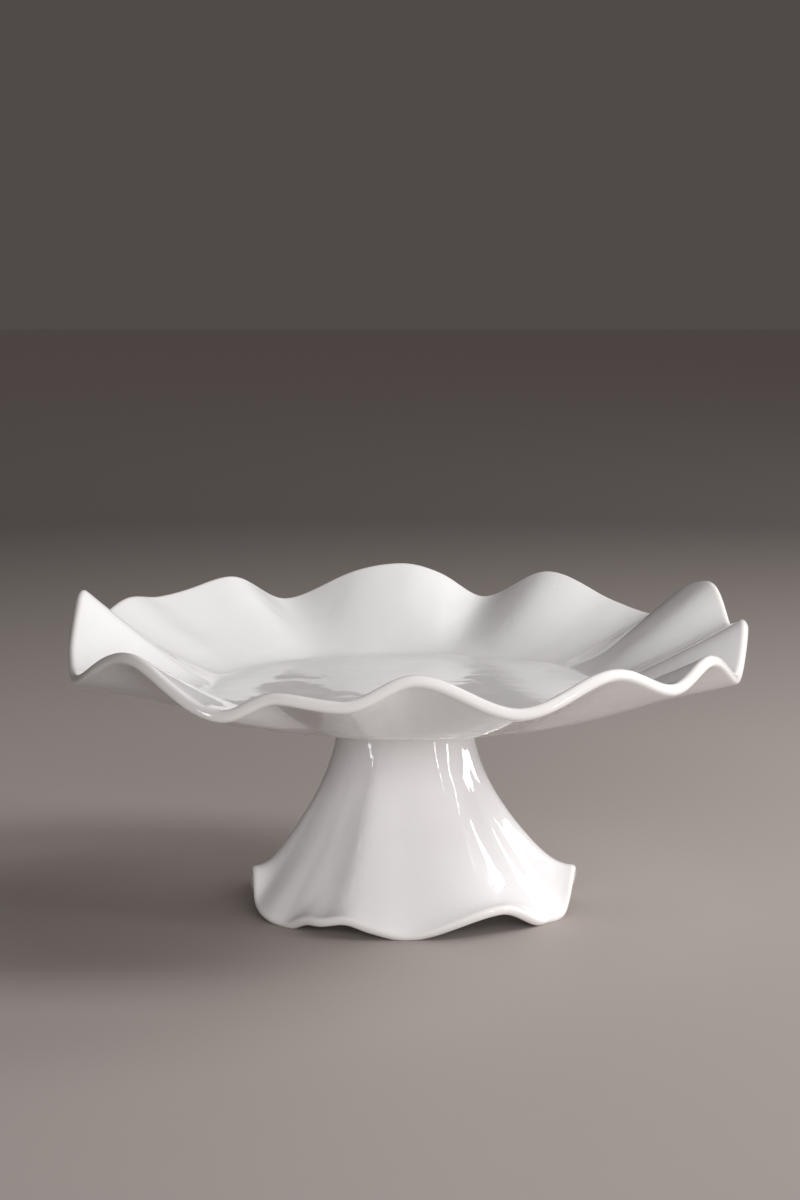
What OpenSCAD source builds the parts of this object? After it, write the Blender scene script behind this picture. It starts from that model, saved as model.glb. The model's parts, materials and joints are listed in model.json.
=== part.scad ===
// Ruffled pedestal cake stand
//
// The plate and the pedestal are two separate glazed ceramic shells. One screw runs up through the
// pedestal's deck into a threaded insert that is bonded in the plate's hub, and draws them together.
// The origin lies on the table under the middle of the plate, with +Z up.
// A bearing is an angle round +Z in degrees: 0 is the front (-Y) and 90 is the right (+X).

/* [Plate] */
// Height of the flat cake floor above the table
floor_height = 110; // [100:1:130]
// Radius of the flat cake floor, where the wall starts to rise
floor_radius = 95; // [88:1:100]
// Thickness of the cake floor
floor_thickness = 8; // [7:0.5:10]
// Thickness of the wall at its rounded rim
rim_thickness = 6; // [4:0.5:7]
// Depth of the rim's ruffles, as a share of the full depth
ruffle_depth = 1; // [0.4:0.05:1.2]

/* [Pedestal] */
// Outer radius of the neck, where the pedestal meets the plate
neck_radius = 32.5; // [31:0.5:36]
// Thickness of the pedestal's wall at its hem
hem_thickness = 5; // [4:0.5:6]
// Thickness of the closed deck inside the neck
deck_thickness = 7; // [6:0.5:9]

/* [Fixing] */
// Nominal diameter of the screw's thread
screw_diameter = 6; // [5, 6]
// Length of the screw under its head
screw_length = 20; // [18:1:20]
// Thickness of the soft ring in the seam between the pedestal and the plate
gasket_thickness = 0.8; // [0.5:0.1:1.2]

/* [Hidden] */

// Ruffles round the rim: bearing, rise of the rim's top over the cake floor, reach from the axis
RUFFLES = [
    [-157, 21, 167], [-144.5, 36, 164], [-135, 31.5, 165], [-127.5, 30, 165], [-118.5, 33, 165],
    [-108, 27.5, 166], [-97, 45, 164.5], [-95, 46.5, 164.5], [-93.5, 44.5, 164.5],
    [-84, 21, 166.5], [-77, 13, 166.5], [-52.5, 33.5, 165], [-30.5, 14.5, 168], [-21, 24.5, 165],
    [-10, 22, 166], [1.5, 34, 163], [18.5, 18, 167], [36, 31.7, 165], [50, 20, 166],
    [60.5, 29.3, 167], [76, 14, 167.5], [87, 35, 169.5], [98, 27, 167], [108.5, 45, 167],
    [117, 38.5, 165], [128, 20.5, 167], [138, 25.5, 165], [151, 37.5, 163], [165, 21, 166],
    [173.5, 34, 163.5], [180.5, 39, 163], [189, 35.5, 163.5]
];
// Waves round the hem: bearing, height of the hem's edge over the table, reach from the axis, flare
// of the lip from 0 (a foot that falls straight to the table) to 1 (a lip turned outwards), and fold
// of the wall above it from 0 (a hollow over a foot) to 1 (a ridge over an arch)
HEM_WAVES = [
    [-154, 0, 79, 0, 0], [-129, 9, 77, 0.7, 1], [-103, 0, 78, 0, 0], [-79, 18, 77.5, 1, 1],
    [-69, 5.5, 79.5, 0.4, 0.6], [-58, 1.5, 81, 0.1, 0.15], [-48, 0, 79, 0, 0],
    [-38, 4.3, 80, 0.8, 0.15], [-31, 5, 81, 1, 0.5], [-22, 7.2, 80.5, 1, 1.15],
    [-12, 3.5, 79.2, 0.5, 0.6], [0, 0, 78, 0, 0.1], [34, 11, 84, 1, 1], [57, 0, 83, 0, 0],
    [67, 1.5, 86, 0.2, 0.4], [81, 18, 86, 1, 1], [103, 0, 84, 0, 0], [129, 9, 79, 0.7, 1],
    [154, 0, 80, 0, 0], [180, 13, 82, 1, 1]
];

AROUND = 120; // points in one ring of a shell
PLATE_STEPS = 11; // steps from the floor to the rim
PEDESTAL_STEPS = 13; // steps from the neck to the hem
EDGE_STEPS = 5; // steps round a free edge
SMOOTH = 96; // $fn of the turned and drilled shapes
travel_step = 0.01; // half the travel over which a shell's slope is measured
turn_step = 0.5; // half the turn over which it is measured, in degrees

plate_start = 0.06; // the wall's first ring lies this far out from the floor's edge
wall_fillet = 0.08; // how wide the fillet between the floor and the wall is
wall_power = 1.1; // how gently the wall leaves the floor
ruffle_power = 1.15; // how late the ruffles grow towards the rim
mean_rise = 27; // rise of the rim before its ruffles

pedestal_start = 0.12; // the pedestal's first ring lies this far down from the neck's top
neck_thickening = 1; // how much thicker the wall is at the neck than at the hem
waist = 0.6; // how much the throat narrows under the neck, in a hollow
ridge_growth = 0.5; // how much wider the throat is in a ridge
throat_height = 0.65; // height of the throat, as a share of the neck's
hollow_knee = [50, 32.5]; // radius and height of the profile's bend in a hollow
ridge_knee = [52.3, 40.5]; // the same in a ridge
lip_turn = [5, 4.5]; // how far a full lip turns outwards and up
lip_power = 16; // how late it turns
foot_sink = 0.6; // how far the feet are ground off, for flat lands

neck_top = floor_height - floor_thickness - gasket_thickness;
hub_radius = 25;
hub_height = 6;
hub_clearance = 0.6; // round the hub in its socket
hub_gap = 1; // between the hub and the deck
hub_bottom = floor_height - floor_thickness - hub_height;
deck_top = hub_bottom - hub_gap;
deck_bottom = deck_top - deck_thickness;
deck_radius = 24; // inner radius of the pedestal at the deck
screw_hole_radius = screw_diameter / 2 + 0.5;
gasket_inner = hub_radius + 1.2;
gasket_outer = neck_radius - 1;
cut = 1; // how far a cutting tool runs past a surface

insert_radius = 4.5;
insert_length = 10;
insert_recess = 0.5; // how far the insert lies inside the hub
thread_radius = screw_diameter / 2 + 0.05; // of the insert's thread, clear of the screw's
potting_radius = insert_radius + 1;
potting_depth = insert_recess + insert_length + 0.5;

washer_hole_radius = screw_diameter / 2 + 0.2;
cushion_radius = 12;
cushion_thickness = 1.5;
cushion_bottom = deck_bottom - cushion_thickness;
washer_radius = 9;
washer_thickness = 1.6;
washer_bottom = cushion_bottom - washer_thickness;
lock_radius = 5.9;
lock_thickness = 1.6;
lock_split = 1.2;
lock_slant = 25; // of the split, in degrees
lock_bottom = washer_bottom - lock_thickness;
head_across_flats = 10;
head_height = 4;
tip_chamfer = 0.8;

function mix(a, b, t) = a + (b - a) * t;
function unit(v) = v / norm(v);
function place(bearing, radius, z) = [radius * sin(bearing), -radius * cos(bearing), z];

// Row k of a closed ring of waves, where k may run past either end
function turned_row(rows, k) =
    let(turns = floor(k / len(rows)), row = rows[k - turns * len(rows)])
    [for (c = [0:len(row) - 1]) c == 0 ? row[0] + 360 * turns : row[c]];

// Slope of one column at row b, which is level where the row is a crest or a trough
function slope_at(a, b, c, column) =
    (b[column] - a[column]) * (c[column] - b[column]) <= 0 ? 0 : (c[column] - a[column]) / (c[0] - a[0]);

// Value of one column of the waves at any bearing, along a smooth curve through the rows
function wave(rows, bearing, column) =
    let(
        turned = bearing - 360 * floor((bearing - rows[0][0]) / 360),
        i = max([for (k = [0:len(rows) - 1]) if (rows[k][0] <= turned) k]),
        r = [for (k = [-1:2]) turned_row(rows, i + k)],
        span = r[2][0] - r[1][0],
        t = (turned - r[1][0]) / span,
        leave = span * slope_at(r[0], r[1], r[2], column),
        arrive = span * slope_at(r[1], r[2], r[3], column)
    )
    mix(r[1][column], r[2][column], t * t * (3 - 2 * t))
        + leave * t * pow(1 - t, 2) - arrive * t * t * (1 - t);

// The middle of the plate's wall: s runs from 0 at the floor to 1 at the rim
plate_middle = function (s, bearing)
    let(
        filleted = s * s * (1 + wall_fillet) / (s + wall_fillet),
        rise = mean_rise * pow(filleted, wall_power)
            + (wave(RUFFLES, bearing, 1) - mean_rise) * ruffle_depth * pow(filleted, ruffle_power)
            + (floor_thickness - rim_thickness) / 2 * s,
        reach = wave(RUFFLES, bearing, 2) - rim_thickness / 2
    )
    place(bearing, mix(floor_radius, reach, s), floor_height - floor_thickness / 2 + rise);

function bezier(p, t) =
    pow(1 - t, 3) * p[0] + 3 * t * pow(1 - t, 2) * p[1] + 3 * t * t * (1 - t) * p[2] + pow(t, 3) * p[3];

// The middle of the pedestal's wall: s runs from 0 at the neck to 1 at the hem
pedestal_middle = function (s, bearing)
    let(
        wall = hem_thickness / 2,
        reach = wave(HEM_WAVES, bearing, 2),
        lip = wave(HEM_WAVES, bearing, 3) * lip_turn,
        fold = wave(HEM_WAVES, bearing, 4),
        end = [reach - wall, wave(HEM_WAVES, bearing, 1) + wall - foot_sink] - lip,
        neck = [neck_radius - wall, neck_top],
        throat = [neck_radius - wall - waist + ridge_growth * fold, throat_height * neck_top],
        knee = mix(hollow_knee, ridge_knee, fold),
        p = bezier([neck, throat, knee, end], s) + lip * pow(s, lip_power)
    )
    place(bearing, p[0], p[1]);

function normal_at(middle, s, bearing) =
    let(
        along = middle(min(s + travel_step, 1), bearing) - middle(max(s - travel_step, 0), bearing),
        around = middle(s, bearing + turn_step) - middle(s, bearing - turn_step)
    )
    unit(cross(along, around));

function side_ring(middle, s, offset) = [
    for (i = [0:AROUND - 1])
        let(bearing = i * 360 / AROUND)
        middle(s, bearing) + offset * normal_at(middle, s, bearing)
];

// One ring of the half-round free edge, turned from the first side (0) to the second (180)
function edge_ring(middle, radius, turn) = [
    for (i = [0:AROUND - 1])
        let(
            bearing = i * 360 / AROUND,
            up = normal_at(middle, 1, bearing),
            around = middle(1, bearing + turn_step) - middle(1, bearing - turn_step),
            out = unit(cross(around, up))
        )
        middle(1, bearing) + radius * (up * cos(turn) + out * sin(turn))
];

// Shares of a travel whose steps get shorter towards its end
function closing(share) = share * (1.5 - 0.5 * share);

// Rings along the first side of a shell, round its free edge and back along its second side
function shell_rings(middle, steps, start, start_thickness, end_thickness) =
    let(
        travel = [for (k = [0:steps]) mix(start, 1, closing(k / steps))],
        half = [for (s = travel) mix(start_thickness, end_thickness, s) / 2]
    )
    concat(
        [for (k = [0:steps]) side_ring(middle, travel[k], half[k])],
        [for (k = [1:EDGE_STEPS - 1]) edge_ring(middle, end_thickness / 2, 180 * k / EDGE_STEPS)],
        [for (k = [steps:-1:0]) side_ring(middle, travel[k], -half[k])]
    );

function circle_ring(radius, z) = [for (i = [0:AROUND - 1]) place(i * 360 / AROUND, radius, z)];

// A solid with a skin through the rings, closed flat across the first and the last one
module ringed_solid(rings) {
    points = [for (ring = rings) each ring];
    last = (len(rings) - 1) * AROUND;
    sides = [
        for (j = [0:len(rings) - 2], i = [0:AROUND - 1])
            let(
                a = j * AROUND + i,
                b = j * AROUND + (i + 1) % AROUND
            )
            each [[a, b, b + AROUND], [a, b + AROUND, a + AROUND]]
    ];
    caps = [[for (i = [AROUND - 1:-1:0]) i], [for (i = [0:AROUND - 1]) last + i]];
    polyhedron(points, concat(sides, caps));
}

// A flat ring that stands on the height bottom
module ring(inner, outer, bottom, thickness) {
    translate([0, 0, bottom])
        difference() {
            cylinder(r = outer, h = thickness, $fn = SMOOTH);
            translate([0, 0, -cut])
                cylinder(r = inner, h = thickness + 2 * cut, $fn = SMOOTH);
        }
}

module plate() {
    underside = floor_height - floor_thickness;
    color("white")
        difference() {
            union() {
                ringed_solid(concat(
                    [circle_ring(floor_radius, floor_height)],
                    shell_rings(plate_middle, PLATE_STEPS, plate_start, floor_thickness, rim_thickness),
                    [circle_ring(floor_radius, underside)]
                ));
                translate([0, 0, hub_bottom])
                    cylinder(r = hub_radius, h = hub_height + cut, $fn = SMOOTH);
            }
            translate([0, 0, hub_bottom - cut])
                cylinder(r = potting_radius, h = potting_depth + cut, $fn = SMOOTH);
        }
}

module pedestal() {
    neck_wall = hem_thickness + neck_thickening;
    color("white")
        difference() {
            ringed_solid(concat(
                [circle_ring(neck_radius, neck_top)],
                shell_rings(pedestal_middle, PEDESTAL_STEPS, pedestal_start, neck_wall, hem_thickness),
                [circle_ring(deck_radius, deck_bottom)]
            ));
            translate([0, 0, deck_top])
                cylinder(r = hub_radius + hub_clearance, h = neck_top - deck_top + cut, $fn = SMOOTH);
            translate([0, 0, deck_bottom - cut])
                cylinder(r = screw_hole_radius, h = deck_thickness + 2 * cut, $fn = SMOOTH);
            // flat lands ground under the feet
            translate([0, 0, -2 * foot_sink])
                cylinder(r = 2 * floor_radius, h = 2 * foot_sink, $fn = SMOOTH);
        }
}

module seat_gasket() {
    color("gainsboro")
        ring(gasket_inner, gasket_outer, neck_top, gasket_thickness);
}

module threaded_insert() {
    color("goldenrod")
        ring(thread_radius, insert_radius, hub_bottom + insert_recess, insert_length);
}

// A cup of resin round the insert's side and over its top
module insert_potting() {
    color("darkgray")
        translate([0, 0, hub_bottom])
            difference() {
                cylinder(r = potting_radius, h = potting_depth, $fn = SMOOTH);
                translate([0, 0, -cut])
                    cylinder(r = insert_radius, h = insert_recess + insert_length + cut, $fn = SMOOTH);
            }
}

module cushion_washer() {
    color("whitesmoke")
        ring(washer_hole_radius, cushion_radius, cushion_bottom, cushion_thickness);
}

module flat_washer() {
    color("silver")
        ring(washer_hole_radius, washer_radius, washer_bottom, washer_thickness);
}

module lock_washer() {
    color("silver")
        difference() {
            ring(washer_hole_radius, lock_radius, lock_bottom, lock_thickness);
            // the slanting split of a spring washer
            translate([0, 0, lock_bottom + lock_thickness / 2])
                rotate([0, lock_slant, 0])
                    translate([0, -lock_radius, 0])
                        cube([lock_split, 2 * lock_radius, 4 * lock_thickness], center = true);
        }
}

module fixing_screw() {
    radius = screw_diameter / 2;
    color("silver") {
        translate([0, 0, lock_bottom - head_height])
            cylinder(r = head_across_flats / 2 / cos(30), h = head_height, $fn = 6);
        translate([0, 0, lock_bottom - cut])
            cylinder(r = radius, h = screw_length + cut - tip_chamfer, $fn = SMOOTH);
        translate([0, 0, lock_bottom + screw_length - tip_chamfer])
            cylinder(r1 = radius, r2 = radius - tip_chamfer, h = tip_chamfer, $fn = SMOOTH);
    }
}

plate();
pedestal();
seat_gasket();
threaded_insert();
insert_potting();
cushion_washer();
flat_washer();
lock_washer();
fixing_screw();
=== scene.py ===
import json
import math

import bpy
import numpy as np
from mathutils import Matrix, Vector


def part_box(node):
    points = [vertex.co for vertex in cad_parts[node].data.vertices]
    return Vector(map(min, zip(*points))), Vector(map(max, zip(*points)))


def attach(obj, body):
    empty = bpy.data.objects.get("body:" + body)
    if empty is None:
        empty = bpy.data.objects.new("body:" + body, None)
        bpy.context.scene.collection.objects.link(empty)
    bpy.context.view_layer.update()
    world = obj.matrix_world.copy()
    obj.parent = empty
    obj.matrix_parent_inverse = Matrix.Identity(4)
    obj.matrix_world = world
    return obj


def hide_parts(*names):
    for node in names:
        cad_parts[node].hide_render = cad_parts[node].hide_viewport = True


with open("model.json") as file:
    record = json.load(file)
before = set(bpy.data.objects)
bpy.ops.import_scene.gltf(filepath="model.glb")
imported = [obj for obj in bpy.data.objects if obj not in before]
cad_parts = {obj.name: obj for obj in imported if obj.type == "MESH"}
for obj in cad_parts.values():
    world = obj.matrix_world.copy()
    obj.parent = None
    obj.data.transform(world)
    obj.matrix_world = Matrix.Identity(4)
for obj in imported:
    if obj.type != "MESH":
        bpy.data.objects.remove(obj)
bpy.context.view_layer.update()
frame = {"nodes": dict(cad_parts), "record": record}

# Ruffled pedestal cake stand: the looks. All lengths in the shape code are millimetres, in the
# frame of the CAD model, and become metres when a mesh is made. A bearing is an angle round +Z in
# degrees: 0 is the front (-Y) and 90 is the right (+X).
MM = 0.001

# ---------------------------------------------------------------------------------------------
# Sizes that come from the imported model
# ---------------------------------------------------------------------------------------------


def low_high(node):
    low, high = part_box(node)
    return np.array(low) / MM, np.array(high) / MM


def mount_height(name):
    mount = next(m for m in frame["record"]["mounts"] if m["name"] == name)
    return mount["pos_m"][2] / MM


FLOOR_TOP = mount_height("cake_rest")
NECK_TOP = low_high("seat_gasket")[0][2]
UNDERSIDE = low_high("seat_gasket")[1][2]
HUB_BOTTOM = low_high("plate")[0][2]
POTTING_TOP = low_high("insert_potting")[1][2]
POTTING_RADIUS = low_high("insert_potting")[1][0]
DECK_BOTTOM = low_high("cushion_washer")[1][2]

# ---------------------------------------------------------------------------------------------
# The same driving sizes as in part.scad
# ---------------------------------------------------------------------------------------------

FLOOR_RADIUS = 95
FLOOR_THICKNESS = FLOOR_TOP - UNDERSIDE
RIM_THICKNESS = 6
NECK_RADIUS = 32.5
HEM_THICKNESS = 5
DECK_TOP = HUB_BOTTOM - 1
HUB_RADIUS = 25
SOCKET_RADIUS = 25.6
SCREW_HOLE_RADIUS = 3.5
FOOT_SINK = 0.6  # how far the feet are ground off
NECK_THICKENING = 1  # how much thicker the pedestal's wall is at the neck than at the hem
GASKET_INNER = HUB_RADIUS + 1.2
WASHER_HOLE = 3.2
SCREW_RADIUS = 3.0
HEAD_APOTHEM = 5.0  # half the width of the hexagon across its flats

WALL_FILLET = 0.08  # how wide the fillet between the floor and the wall is
WALL_POWER = 1.1  # how gently the wall leaves the floor
RUFFLE_POWER = 1.15  # how late the ruffles grow towards the rim
MEAN_RISE = 27  # rise of the rim before its ruffles
WAIST = 0.6  # how much the throat narrows under the neck, in a hollow
RIDGE_GROWTH = 0.5  # how much wider the throat is in a ridge
THROAT_HEIGHT = 0.65  # height of the throat, as a share of the neck's
HOLLOW_KNEE = 50, 32.5  # radius and height of the pedestal profile's bend in a hollow
RIDGE_KNEE = 52.3, 40.5  # the same in a ridge
LIP_TURN = 5, 4.5  # how far a full lip turns outwards and up
LIP_POWER = 16  # how late it turns

# Ruffles round the rim: bearing, rise of the rim's top over the cake floor, reach from the axis
RUFFLES = np.array([
    [-157, 21, 167], [-144.5, 36, 164], [-135, 31.5, 165], [-127.5, 30, 165], [-118.5, 33, 165],
    [-108, 27.5, 166], [-97, 45, 164.5], [-95, 46.5, 164.5], [-93.5, 44.5, 164.5],
    [-84, 21, 166.5], [-77, 13, 166.5], [-52.5, 33.5, 165], [-30.5, 14.5, 168], [-21, 24.5, 165],
    [-10, 22, 166], [1.5, 34, 163], [18.5, 18, 167], [36, 31.7, 165], [50, 20, 166],
    [60.5, 29.3, 167], [76, 14, 167.5], [87, 35, 169.5], [98, 27, 167], [108.5, 45, 167],
    [117, 38.5, 165], [128, 20.5, 167], [138, 25.5, 165], [151, 37.5, 163], [165, 21, 166],
    [173.5, 34, 163.5], [180.5, 39, 163], [189, 35.5, 163.5]
])
# Waves round the hem: bearing, height of the hem's edge over the table, reach from the axis, turn of
# the lip from 0 (straight down) to 1 (outwards), and fold from 0 (a hollow) to 1 (a ridge)
HEM_WAVES = np.array([
    [-154, 0, 79, 0, 0], [-129, 9, 77, 0.7, 1], [-103, 0, 78, 0, 0], [-79, 18, 77.5, 1, 1],
    [-69, 5.5, 79.5, 0.4, 0.6], [-58, 1.5, 81, 0.1, 0.15], [-48, 0, 79, 0, 0],
    [-38, 4.3, 80, 0.8, 0.15], [-31, 5, 81, 1, 0.5], [-22, 7.2, 80.5, 1, 1.15],
    [-12, 3.5, 79.2, 0.5, 0.6], [0, 0, 78, 0, 0.1], [34, 11, 84, 1, 1], [57, 0, 83, 0, 0],
    [67, 1.5, 86, 0.2, 0.4], [81, 18, 86, 1, 1], [103, 0, 84, 0, 0], [129, 9, 79, 0.7, 1],
    [154, 0, 80, 0, 0], [180, 13, 82, 1, 1]
])

AROUND = 560  # points in one ring of a shell
BEARINGS = np.arange(AROUND) * 360 / AROUND
ROUND = np.arange(144) * 2.5  # bearings of a ring in the small fixings
EDGE_STEPS = 18  # steps round a free edge
PLATE_SQUARENESS, PEDESTAL_SQUARENESS = 2.6, 2.3  # of a free edge, where 2 is round
SOFTENING = 0.4  # chamfer on a drilled or moulded edge

# ---------------------------------------------------------------------------------------------
# Shape: waves, shells and rings
# ---------------------------------------------------------------------------------------------


def mix(a, b, t):
    return a + (b - a) * t


def place(bearing, radius, z):
    angle = np.radians(bearing)
    return np.stack(np.broadcast_arrays(radius * np.sin(angle), -radius * np.cos(angle), z), -1)


def wave_table(rows, column, blur=0.8, step=0.25):
    """One column of the waves all round, on a smooth curve that is level at crests and troughs."""
    turns = np.array([[360] + [0] * (rows.shape[1] - 1)])
    ring = np.vstack([rows[-2:] - turns, rows, rows[:3] + turns])
    x, y = ring[:, 0], ring[:, column]
    rise = np.diff(y)
    slope = np.zeros(len(x))
    same_way = rise[:-1] * rise[1:] > 0
    slope[1:-1] = np.where(same_way, (y[2:] - y[:-2]) / (x[2:] - x[:-2]), 0)
    at = np.arange(rows[0, 0], rows[0, 0] + 360, step)
    i = np.searchsorted(x, at, side="right") - 1
    span = x[i + 1] - x[i]
    t = (at - x[i]) / span
    value = mix(y[i], y[i + 1], t * t * (3 - 2 * t))
    value += span * (slope[i] * t * (1 - t) ** 2 - slope[i + 1] * t * t * (1 - t))
    reach = int(4 * blur / step)
    kernel = np.exp(-0.5 * (np.arange(-reach, reach + 1) * step / blur) ** 2)
    padded = np.concatenate([value[-reach:], value, value[:reach]])
    smooth = np.convolve(padded, kernel / kernel.sum(), mode="valid")
    return lambda bearing: np.interp(bearing, at, smooth, period=360)


rim_rise = wave_table(RUFFLES, 1)
rim_reach = wave_table(RUFFLES, 2)
hem_height = wave_table(HEM_WAVES, 1)
hem_reach = wave_table(HEM_WAVES, 2)
hem_lip = wave_table(HEM_WAVES, 3)
hem_fold = wave_table(HEM_WAVES, 4)


def plate_middle(s, bearing):
    """The middle of the plate's wall, from 0 at the floor to 1 at the rim."""
    filleted = s * s * (1 + WALL_FILLET) / (s + WALL_FILLET)
    rise = MEAN_RISE * filleted ** WALL_POWER
    rise = rise + (rim_rise(bearing) - MEAN_RISE) * filleted ** RUFFLE_POWER
    rise = rise + (FLOOR_THICKNESS - RIM_THICKNESS) / 2 * s
    reach = rim_reach(bearing) - RIM_THICKNESS / 2
    return place(bearing, mix(FLOOR_RADIUS, reach, s), FLOOR_TOP - FLOOR_THICKNESS / 2 + rise)


def pedestal_middle(s, bearing):
    """The middle of the pedestal's wall, from 0 at the neck to 1 at the hem."""
    wall = HEM_THICKNESS / 2
    reach, lip, fold = hem_reach(bearing), hem_lip(bearing), hem_fold(bearing)
    lip_out, lip_up = LIP_TURN[0] * lip, LIP_TURN[1] * lip
    end = reach - wall - lip_out, hem_height(bearing) + wall - FOOT_SINK - lip_up
    neck = NECK_RADIUS - wall, NECK_TOP
    throat = NECK_RADIUS - wall - WAIST + RIDGE_GROWTH * fold, THROAT_HEIGHT * NECK_TOP
    knee = [mix(hollow, ridge, fold) for hollow, ridge in zip(HOLLOW_KNEE, RIDGE_KNEE)]
    weights = (1 - s) ** 3, 3 * s * (1 - s) ** 2, 3 * s * s * (1 - s), s ** 3
    profile = neck, throat, knee, end
    radius = sum(weight * point[0] for weight, point in zip(weights, profile))
    height = sum(weight * point[1] for weight, point in zip(weights, profile))
    turned = s ** LIP_POWER
    return place(bearing, radius + lip_out * turned, height + lip_up * turned)


def unit(vectors):
    return vectors / np.linalg.norm(vectors, axis=-1, keepdims=True)


def directions(middle, s, bearing):
    """Unit vectors off a shell's first side, and outwards past its free edge."""
    ds, db = 0.004, 0.2
    along = middle(min(s + ds, 1.0), bearing) - middle(max(s - ds, 0.0), bearing)
    around = middle(s, bearing + db) - middle(s, bearing - db)
    up = unit(np.cross(along, around))
    return up, unit(np.cross(around, up))


def hand_wobble(points):
    """The faint unevenness of a hand-finished, glazed surface, in millimetres along the normal."""
    x, y, z = points[..., 0], points[..., 1], points[..., 2]
    slow = np.sin(x / 13 + 1.3 * np.sin(y / 21)) * np.sin(y / 15 + z / 19 + 0.7)
    quick = np.sin(x / 6.1 + y / 8.3 + 2.1) * np.sin(y / 5.3 - x / 11.9 + z / 7.7)
    return 0.10 * slow + 0.035 * quick


def shell_rings(middle, travel, start_thickness, end_thickness, squareness):
    """Rings up one side of a shell, round its free edge and back down its other side."""
    first, second, edge = [], [], []
    for s in travel:
        up, _ = directions(middle, s, BEARINGS)
        half = mix(start_thickness, end_thickness, s) / 2
        centre = middle(s, BEARINGS)
        wobble = hand_wobble(centre)[:, None]
        first.append(centre + up * (half + wobble))
        second.append(centre - up * half)
    up, out = directions(middle, 1.0, BEARINGS)
    centre = middle(1.0, BEARINGS)
    wobble = hand_wobble(centre)[:, None]
    half = end_thickness / 2
    power = 2 / squareness
    for turn in np.linspace(0, math.pi, EDGE_STEPS + 1)[1:-1]:
        across = math.copysign(abs(math.cos(turn)) ** power, math.cos(turn))
        beyond = math.sin(turn) ** power
        fade = (1 + across) / 2
        edge.append(centre + up * (half * across + wobble * fade) + out * half * beyond)
    return first, edge, second[::-1]


def turned_rings(outline, bearings=BEARINGS):
    """Circular rings through the (radius, height) points of an outline."""
    return [place(bearings, radius, z) for radius, z in outline]


def arc(centre, radius, start, end, steps=5):
    """Points of an outline round a fillet, with its angles in degrees."""
    angles = np.radians(np.linspace(start, end, steps + 1))
    return [(centre[0] + radius * math.cos(a), centre[1] + radius * math.sin(a)) for a in angles]


def make_piece(name, rings, closed=False, edge=None):
    """A mesh through the rings, joined end to end if closed and otherwise capped by fans.

    The rings of a free edge, where glaze runs thin, are marked in the attribute "glaze_thin"."""
    n = len(rings[0])
    points = np.concatenate(rings)
    i = np.arange(n)
    nxt = (i + 1) % n
    count = len(rings)
    faces = []
    for j in range(count if closed else count - 1):
        a, b = j * n, (j + 1) % count * n
        faces.append(np.stack([a + i, a + nxt, b + nxt, b + i], -1))
    faces = np.concatenate(faces)[:, ::-1].tolist()
    if not closed:
        first, last = len(points), len(points) + 1
        points = np.vstack([points, rings[0].mean(0), rings[-1].mean(0)])
        top = (count - 1) * n
        faces += np.stack([nxt, i, np.full(n, first)], -1).tolist()
        faces += np.stack([top + i, top + nxt, np.full(n, last)], -1).tolist()
    mesh = bpy.data.meshes.new(name)
    mesh.from_pydata((points * MM).tolist(), [], faces)
    mesh.polygons.foreach_set("use_smooth", [True] * len(mesh.polygons))
    mesh.set_sharp_from_angle(angle=math.radians(40))
    if edge is not None:
        thin = np.zeros(len(points))
        thin[edge[0] * n:edge[1] * n] = 1
        mesh.attributes.new("glaze_thin", "FLOAT", "POINT").data.foreach_set("value", thin)
    mesh.update()
    piece = bpy.data.objects.new(name, mesh)
    bpy.context.scene.collection.objects.link(piece)
    return piece


# ---------------------------------------------------------------------------------------------
# The two glazed shells
# ---------------------------------------------------------------------------------------------


def eased_steps(count, start=0.0):
    """Steps from start to 1 that lie closer together towards the free edge."""
    t = np.linspace(0, 1, count)
    return mix(start, 1.0, 1 - (1 - t) ** 1.25)


def make_plate():
    """The plate: its floor, the wall out to the rim and back, and the hub under the floor."""
    first, edge, second = shell_rings(
        plate_middle, eased_steps(56, 0.01), FLOOR_THICKNESS, RIM_THICKNESS, PLATE_SQUARENESS
    )
    floor = []
    for radius in np.linspace(2, FLOOR_RADIUS, 26):
        ring = place(BEARINGS, radius, FLOOR_TOP)
        ring[:, 2] += hand_wobble(ring)
        floor.append(ring)
    fillet = 1.5
    hub = [(FLOOR_RADIUS, UNDERSIDE), (60, UNDERSIDE), (HUB_RADIUS + 3, UNDERSIDE)]
    hub += arc((HUB_RADIUS + fillet, UNDERSIDE - fillet), fillet, 90, 180)
    hub += arc((HUB_RADIUS - fillet, HUB_BOTTOM + fillet), fillet, 0, -90)
    hub += [(POTTING_RADIUS + 0.6, HUB_BOTTOM), (POTTING_RADIUS, HUB_BOTTOM + SOFTENING)]
    hub += [(POTTING_RADIUS, POTTING_TOP), (1, POTTING_TOP)]
    start = len(floor) + len(first)
    rings = floor + first + edge + second + turned_rings(hub)
    return make_piece("plate_shell", rings, edge=(start, start + len(edge)))


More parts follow.
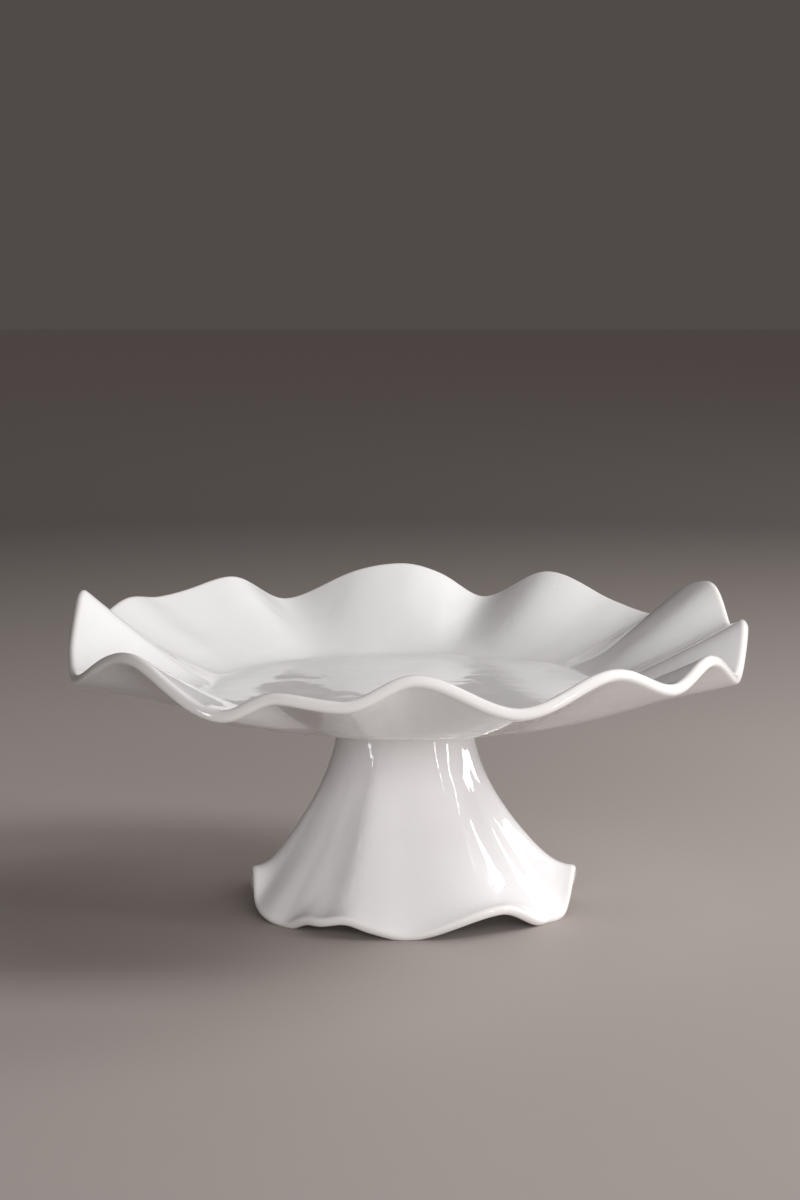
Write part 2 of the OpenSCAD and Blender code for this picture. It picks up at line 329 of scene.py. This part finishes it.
def make_pedestal():
    """The pedestal: the socket in the neck, the wall down to the hem and back, and the deck."""
    neck_wall = HEM_THICKNESS + NECK_THICKENING
    first, edge, second = shell_rings(
        pedestal_middle, eased_steps(60, 0.10), neck_wall, HEM_THICKNESS, PEDESTAL_SQUARENESS
    )
    fillet, mouth = 1.2, 0.6
    neck = [(SOCKET_RADIUS, DECK_TOP + 0.5), (SOCKET_RADIUS, NECK_TOP - mouth)]
    neck += [(SOCKET_RADIUS + mouth, NECK_TOP)]
    neck += arc((NECK_RADIUS - fillet, NECK_TOP - fillet), fillet, 90, 0)
    neck = turned_rings(neck)
    lead = [mix(neck[-1], first[0], t) for t in (0.33, 0.67)]
    corner = 3.5
    second = [ring for ring in second if ring[:, 2].mean() < DECK_BOTTOM - corner - 0.5]
    wall_radius = np.hypot(second[-1][:, 0], second[-1][:, 1]).mean()
    deck = arc((wall_radius - corner, DECK_BOTTOM - corner), corner, 0, 90)
    softened = SCREW_HOLE_RADIUS + SOFTENING
    deck += [(softened, DECK_BOTTOM), (SCREW_HOLE_RADIUS, DECK_BOTTOM + SOFTENING)]
    deck += [(SCREW_HOLE_RADIUS, DECK_TOP - SOFTENING), (softened, DECK_TOP)]
    deck += [(SOCKET_RADIUS - 0.5, DECK_TOP)]
    start = len(neck) + len(lead) + len(first)
    rings = neck + lead + first + edge + second + turned_rings(deck)
    for ring in rings:
        ring[:, 2] = np.maximum(ring[:, 2], 0)
    return make_piece("pedestal_shell", rings, closed=True, edge=(start, start + len(edge)))


plate = make_plate()
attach(plate, "root")
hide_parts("plate")
pedestal = make_pedestal()
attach(pedestal, "root")
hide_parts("pedestal")

# ---------------------------------------------------------------------------------------------
# The fixing
# ---------------------------------------------------------------------------------------------


def band_outline(inner, outer, low, high, corner):
    """The section of a flat ring with rounded corners."""
    corners = (
        ((inner + corner, high - corner), 180, 90),
        ((outer - corner, high - corner), 90, 0),
        ((outer - corner, low + corner), 0, -90),
        ((inner + corner, low + corner), -90, -180),
    )
    return [point for centre, start, end in corners for point in arc(centre, corner, start, end, 4)]


def make_band(node, inner, corner):
    """A soft or stamped ring that stands for a CAD node, with its outer size and its heights."""
    low, high = low_high(node)
    outline = band_outline(inner, high[0], low[2], high[2], corner)
    return make_piece(node + "_ring", turned_rings(outline, ROUND), closed=True)


def make_lock_washer():
    """A spring washer: a square wire bent round nearly a whole turn, with its ends cut on a slant."""
    low, high = low_high("lock_washer")
    section = band_outline(WASHER_HOLE, high[0], low[2], high[2], 0.25)
    middle = (low[2] + high[2]) / 2
    half_gap, slant = 0.6, math.tan(math.radians(25))
    sections = []
    for turn in np.linspace(0, 1, 97):
        ring = []
        for radius, z in section:
            lean = (z - middle) * slant
            start = math.degrees((half_gap - lean) / radius)
            end = 360 - math.degrees((half_gap + lean) / radius)
            ring.append(place(mix(start, end, turn), radius, z))
        sections.append(np.array(ring))
    return make_piece("lock_washer_coil", sections[::-1])


def thread_rings(top, bottom, radius, depth, pitch):
    """Rings down a threaded shank, whose crests climb round it."""
    rings = []
    for z in np.arange(top, bottom, -pitch / 8):
        phase = (z / pitch - ROUND / 360) % 1
        rings.append(place(ROUND, radius - depth * np.abs(2 * phase - 1), z))
    return rings


def make_screw():
    """A hexagon head screw with chamfered corners and a rolled thread."""
    low, high = low_high("fixing_screw")
    seat = low_high("lock_washer")[0][2]
    crest, plain = SCREW_RADIUS - 0.02, SCREW_RADIUS - 0.3
    hexagon = HEAD_APOTHEM / np.cos(np.radians((ROUND + 30) % 60 - 30))
    crown = 0.93 * HEAD_APOTHEM
    chamfer = low[2] + (hexagon - crown) * math.tan(math.radians(30))
    rings = turned_rings([(0.8, high[2]), (SCREW_RADIUS - 0.8, high[2])], ROUND)
    rings += thread_rings(high[2] - 0.5, seat + 1.5, crest, depth=0.45, pitch=1.0)
    rings += turned_rings([(plain, seat + 1.2), (plain, seat + 0.2), (SCREW_RADIUS, seat)], ROUND)
    rings += [place(ROUND, hexagon - 0.15, seat), place(ROUND, hexagon, seat - 0.12)]
    rings += [place(ROUND, hexagon, chamfer)]
    face = [(crown, low[2]), (0.68 * crown, low[2])]
    face += [(0.62 * crown, low[2] + 0.25), (0.5, low[2] + 0.3)]
    rings += turned_rings(face, ROUND)
    return make_piece("hex_screw", rings)


fixings = {
    "seat_gasket": (make_band("seat_gasket", GASKET_INNER, 0.3), "soft_silicone"),
    "cushion_washer": (make_band("cushion_washer", WASHER_HOLE, 0.45), "soft_silicone"),
    "flat_washer": (make_band("flat_washer", WASHER_HOLE, 0.25), "zinc_steel"),
    "lock_washer": (make_lock_washer(), "zinc_steel"),
    "fixing_screw": (make_screw(), "zinc_steel"),
}
for node, (piece, slot_name) in fixings.items():
    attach(piece, "root")
    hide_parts(node)

# ---------------------------------------------------------------------------------------------
# Materials
# ---------------------------------------------------------------------------------------------


def new_material(name):
    material = bpy.data.materials.new(name)
    material.use_nodes = True
    tree = material.node_tree
    return material, tree, tree.nodes["Principled BSDF"]


def socket(target, name):
    """The first enabled input of that name."""
    return next(s for s in target.inputs if s.name == name and s.enabled)


def noise(tree, scale, detail=2.0, roughness=0.5, distortion=0.0):
    """Noise over the piece's own place in the frame, from 0 to 1."""
    coordinates = tree.nodes.new("ShaderNodeTexCoord")
    node = tree.nodes.new("ShaderNodeTexNoise")
    node.inputs["Scale"].default_value = scale
    node.inputs["Detail"].default_value = detail
    node.inputs["Roughness"].default_value = roughness
    node.inputs["Distortion"].default_value = distortion
    tree.links.new(coordinates.outputs["Object"], node.inputs["Vector"])
    return node.outputs["Fac"]


def spread(tree, value, low, high, to_low=0.0, to_high=1.0):
    """The value with low to high spread over to_low to to_high."""
    node = tree.nodes.new("ShaderNodeMapRange")
    tree.links.new(value, node.inputs["Value"])
    for name, number in zip(("From Min", "From Max", "To Min", "To Max"), (low, high, to_low, to_high)):
        node.inputs[name].default_value = number
    return node.outputs["Result"]


def product(tree, one, other):
    node = tree.nodes.new("ShaderNodeMath")
    node.operation = "MULTIPLY"
    for value, entry in zip((one, other), node.inputs):
        if isinstance(value, (int, float)):
            entry.default_value = value
        else:
            tree.links.new(value, entry)
    return node.outputs[0]


def blend(tree, factor, one, other):
    """A colour between one (factor 0) and the other (factor 1)."""
    node = tree.nodes.new("ShaderNodeMix")
    node.data_type = "RGBA"
    tree.links.new(factor, socket(node, "Factor"))
    for value, name in ((one, "A"), (other, "B")):
        if isinstance(value, tuple):
            socket(node, name).default_value = value + (1,)
        else:
            tree.links.new(value, socket(node, name))
    return next(s for s in node.outputs if s.enabled)


def bump(tree, height, strength, distance, below=None):
    node = tree.nodes.new("ShaderNodeBump")
    node.inputs["Strength"].default_value = strength
    node.inputs["Distance"].default_value = distance
    tree.links.new(height, node.inputs["Height"])
    if below is not None:
        tree.links.new(below, node.inputs["Normal"])
    return node.outputs["Normal"]


def glaze(name, body, grounded):
    """White gloss glaze over fired clay; the body shows warm where the glaze runs thin."""
    material, tree, shader = new_material(name)
    link = tree.links.new
    cloudy = spread(tree, noise(tree, 9, 4, 0.55, 0.4), 0.35, 0.7)
    colour = blend(tree, cloudy, body, tuple(0.955 * c for c in body))
    thin = tree.nodes.new("ShaderNodeAttribute")
    thin.attribute_name = "glaze_thin"
    patchy = spread(tree, noise(tree, 45, 3), 0.3, 0.75, 0.25, 0.8)
    thinned = product(tree, thin.outputs["Fac"], patchy)
    colour = blend(tree, thinned, colour, (0.80, 0.765, 0.73))
    specks = spread(tree, noise(tree, 620, 1.0), 0.80, 0.84)
    colour = blend(tree, product(tree, specks, 0.5), colour, (0.42, 0.34, 0.28))
    rough = spread(tree, noise(tree, 30, 3, 0.6), 0.3, 0.7, 0.025, 0.06)
    if grounded:
        coordinates = tree.nodes.new("ShaderNodeTexCoord")
        split = tree.nodes.new("ShaderNodeSeparateXYZ")
        link(coordinates.outputs["Object"], split.inputs["Vector"])
        bare = spread(tree, split.outputs["Z"], 0.0006, 0.0002)
        clay = blend(tree, noise(tree, 900, 3), (0.70, 0.66, 0.60), (0.58, 0.53, 0.47))
        colour = blend(tree, bare, colour, clay)
        matt = tree.nodes.new("ShaderNodeMath")
        matt.operation = "MAXIMUM"
        link(rough, matt.inputs[0])
        link(product(tree, bare, 0.85), matt.inputs[1])
        rough = matt.outputs[0]
    link(colour, shader.inputs["Base Color"])
    link(rough, shader.inputs["Roughness"])
    shader.inputs["IOR"].default_value = 1.52
    pooled = bump(tree, noise(tree, 38, 2, 0.5, 0.6), 0.55, 0.0009)
    peel = bump(tree, noise(tree, 420, 1.5), 0.10, 0.0001, pooled)
    link(peel, shader.inputs["Normal"])
    return material


def silicone(name):
    material, tree, shader = new_material(name)
    colour = blend(tree, noise(tree, 160, 3), (0.78, 0.78, 0.75), (0.70, 0.69, 0.65))
    tree.links.new(colour, shader.inputs["Base Color"])
    tree.links.new(spread(tree, noise(tree, 90), 0.3, 0.7, 0.42, 0.6), shader.inputs["Roughness"])
    tree.links.new(bump(tree, noise(tree, 1500), 0.2, 0.00005), shader.inputs["Normal"])
    shader.inputs["Subsurface Weight"].default_value = 0.2
    shader.inputs["Subsurface Scale"].default_value = 0.001
    return material


def metal(name, clean, dull, grain, rough):
    """Plated or turned metal with fine tool marks that run round the axis."""
    material, tree, shader = new_material(name)
    colour = blend(tree, spread(tree, noise(tree, 170, 4, 0.6), 0.4, 0.75), clean, dull)
    tree.links.new(colour, shader.inputs["Base Color"])
    worn = spread(tree, noise(tree, 260, 3), 0.3, 0.7, rough, rough + 0.16)
    tree.links.new(worn, shader.inputs["Roughness"])
    shader.inputs["Metallic"].default_value = 1
    coordinates = tree.nodes.new("ShaderNodeTexCoord")
    turned = tree.nodes.new("ShaderNodeTexWave")
    turned.wave_type = "RINGS"
    turned.rings_direction = "Z"
    turned.inputs["Scale"].default_value = grain
    turned.inputs["Distortion"].default_value = 1.5
    turned.inputs["Detail"].default_value = 2
    tree.links.new(coordinates.outputs["Object"], turned.inputs["Vector"])
    tree.links.new(bump(tree, turned.outputs["Fac"], 0.15, 0.00004), shader.inputs["Normal"])
    return material


def resin(name):
    material, tree, shader = new_material(name)
    grainy = spread(tree, noise(tree, 900, 3), 0.35, 0.7)
    colour = blend(tree, grainy, (0.62, 0.60, 0.55), (0.50, 0.47, 0.42))
    tree.links.new(colour, shader.inputs["Base Color"])
    tree.links.new(spread(tree, noise(tree, 300), 0.3, 0.7, 0.45, 0.65), shader.inputs["Roughness"])
    tree.links.new(bump(tree, noise(tree, 700, 3), 0.4, 0.0001), shader.inputs["Normal"])
    return material


GLAZE_WHITE = 0.84, 0.821, 0.826
plate.data.materials.append(glaze("plate_white_glaze", GLAZE_WHITE, grounded=False))
pedestal.data.materials.append(glaze("pedestal_white_glaze", GLAZE_WHITE, grounded=True))
finishes = {
    "soft_silicone": silicone("matt_silicone"),
    "zinc_steel": metal("bright_zinc", (0.70, 0.71, 0.73), (0.52, 0.52, 0.51), 900, 0.2),
}
for piece, slot_name in fixings.values():
    piece.data.materials.append(finishes[slot_name])


def finish_node(node, material):
    """Gives a visible CAD node its material."""
    for entry in frame["nodes"][node].material_slots:
        entry.material = material


brass = metal("turned_brass", (0.78, 0.58, 0.26), (0.55, 0.38, 0.16), 1200, 0.22)
finish_node("threaded_insert", brass)
finish_node("insert_potting", resin("filled_resin"))

# ---------------------------------------------------------------------------------------------
# Stage, light and camera
# ---------------------------------------------------------------------------------------------


AIM = Vector((0, 0, 0.08))  # where the soft lights point, in metres


def make_floor():
    """A plain table top that merges with the backdrop far off, with painted shade that darkens it
    behind the stand.
    """
    mesh = bpy.data.meshes.new("studio_floor")
    half = 4
    corners = [(-half, -half, 0), (half, -half, 0), (half, half, 0), (-half, half, 0)]
    mesh.from_pydata(corners, [], [(0, 1, 2, 3)])
    floor = bpy.data.objects.new("studio_floor", mesh)
    bpy.context.scene.collection.objects.link(floor)
    material, tree, shader = new_material("studio_floor")
    coordinates = tree.nodes.new("ShaderNodeTexCoord")
    distance = tree.nodes.new("ShaderNodeVectorMath")
    distance.operation = "LENGTH"
    tree.links.new(coordinates.outputs["Object"], distance.inputs[0])
    # painted light falloff: pale near the stand, painted shade darker behind it, and as bright as the
    # backdrop at the horizon
    painted_falloff_shade = spread(tree, distance.outputs["Value"], 0.45, 1.5)
    horizon = spread(tree, distance.outputs["Value"], 1.5, 4.0)
    near = blend(tree, noise(tree, 3, 3), (0.43, 0.385, 0.36), (0.41, 0.365, 0.34))
    # painted shade: the floor darkens towards (0.20, 0.175, 0.165) from 0.45 m to 1.5 m from the stand,
    # in place of real light falloff
    colour = blend(tree, painted_falloff_shade, near, (0.20, 0.175, 0.165))
    tree.links.new(blend(tree, horizon, colour, (0.58, 0.51, 0.49)), shader.inputs["Base Color"])
    shader.inputs["Roughness"].default_value = 0.6
    mesh.materials.append(material)


def softbox(name, bearing, distance, height, size, power, glossy=True):
    """A soft light at a bearing round the stand, turned towards it."""
    light = bpy.data.lights.new(name, "AREA")
    light.shape = "RECTANGLE"
    light.size, light.size_y = size
    light.energy = power
    lamp = bpy.data.objects.new(name, light)
    bpy.context.scene.collection.objects.link(lamp)
    turn = math.radians(bearing)
    lamp.location = (distance * math.sin(turn), -distance * math.cos(turn), height)
    lamp.rotation_euler = (AIM - lamp.location).to_track_quat("-Z", "Y").to_euler()
    lamp.visible_glossy = glossy


def make_camera():
    camera = bpy.data.cameras.new("camera")
    camera.lens = 100
    camera.sensor_width = 36
    holder = bpy.data.objects.new("camera", camera)
    bpy.context.scene.collection.objects.link(holder)
    holder.location = (-0.0025, -1.6334, 0.405)
    holder.rotation_euler = (math.radians(90 - 8.75), 0, 0)
    bpy.context.scene.camera = holder


def make_world():
    world = bpy.data.worlds.new("studio")
    world.use_nodes = True
    world.node_tree.nodes["Background"].inputs["Color"].default_value = (0.080, 0.068, 0.065, 1)
    bpy.context.scene.world = world


make_floor()
make_world()
softbox("window_high", 118, 1.6, 1.0, (0.54, 0.44), 8.5)
softbox("window_low", 114, 1.6, 0.25, (0.24, 0.30), 3.6)
softbox("window_side", 76, 1.6, 0.46, (0.13, 0.52), 4.2)
softbox("window_edge", 48, 1.7, 0.46, (0.06, 0.50), 1.4)
softbox("window_left", -65, 1.8, 0.36, (0.08, 0.42), 0.9)
softbox("key", 84, 1.7, 1.45, (0.8, 0.8), 21, glossy=False)
softbox("room_front", 8, 3.0, 0.8, (2.4, 1.6), 58, glossy=False)
softbox("ceiling", 90, 1.2, 2.2, (1.8, 1.8), 9, glossy=False)
make_camera()
bpy.context.scene.view_settings.view_transform = "Standard"
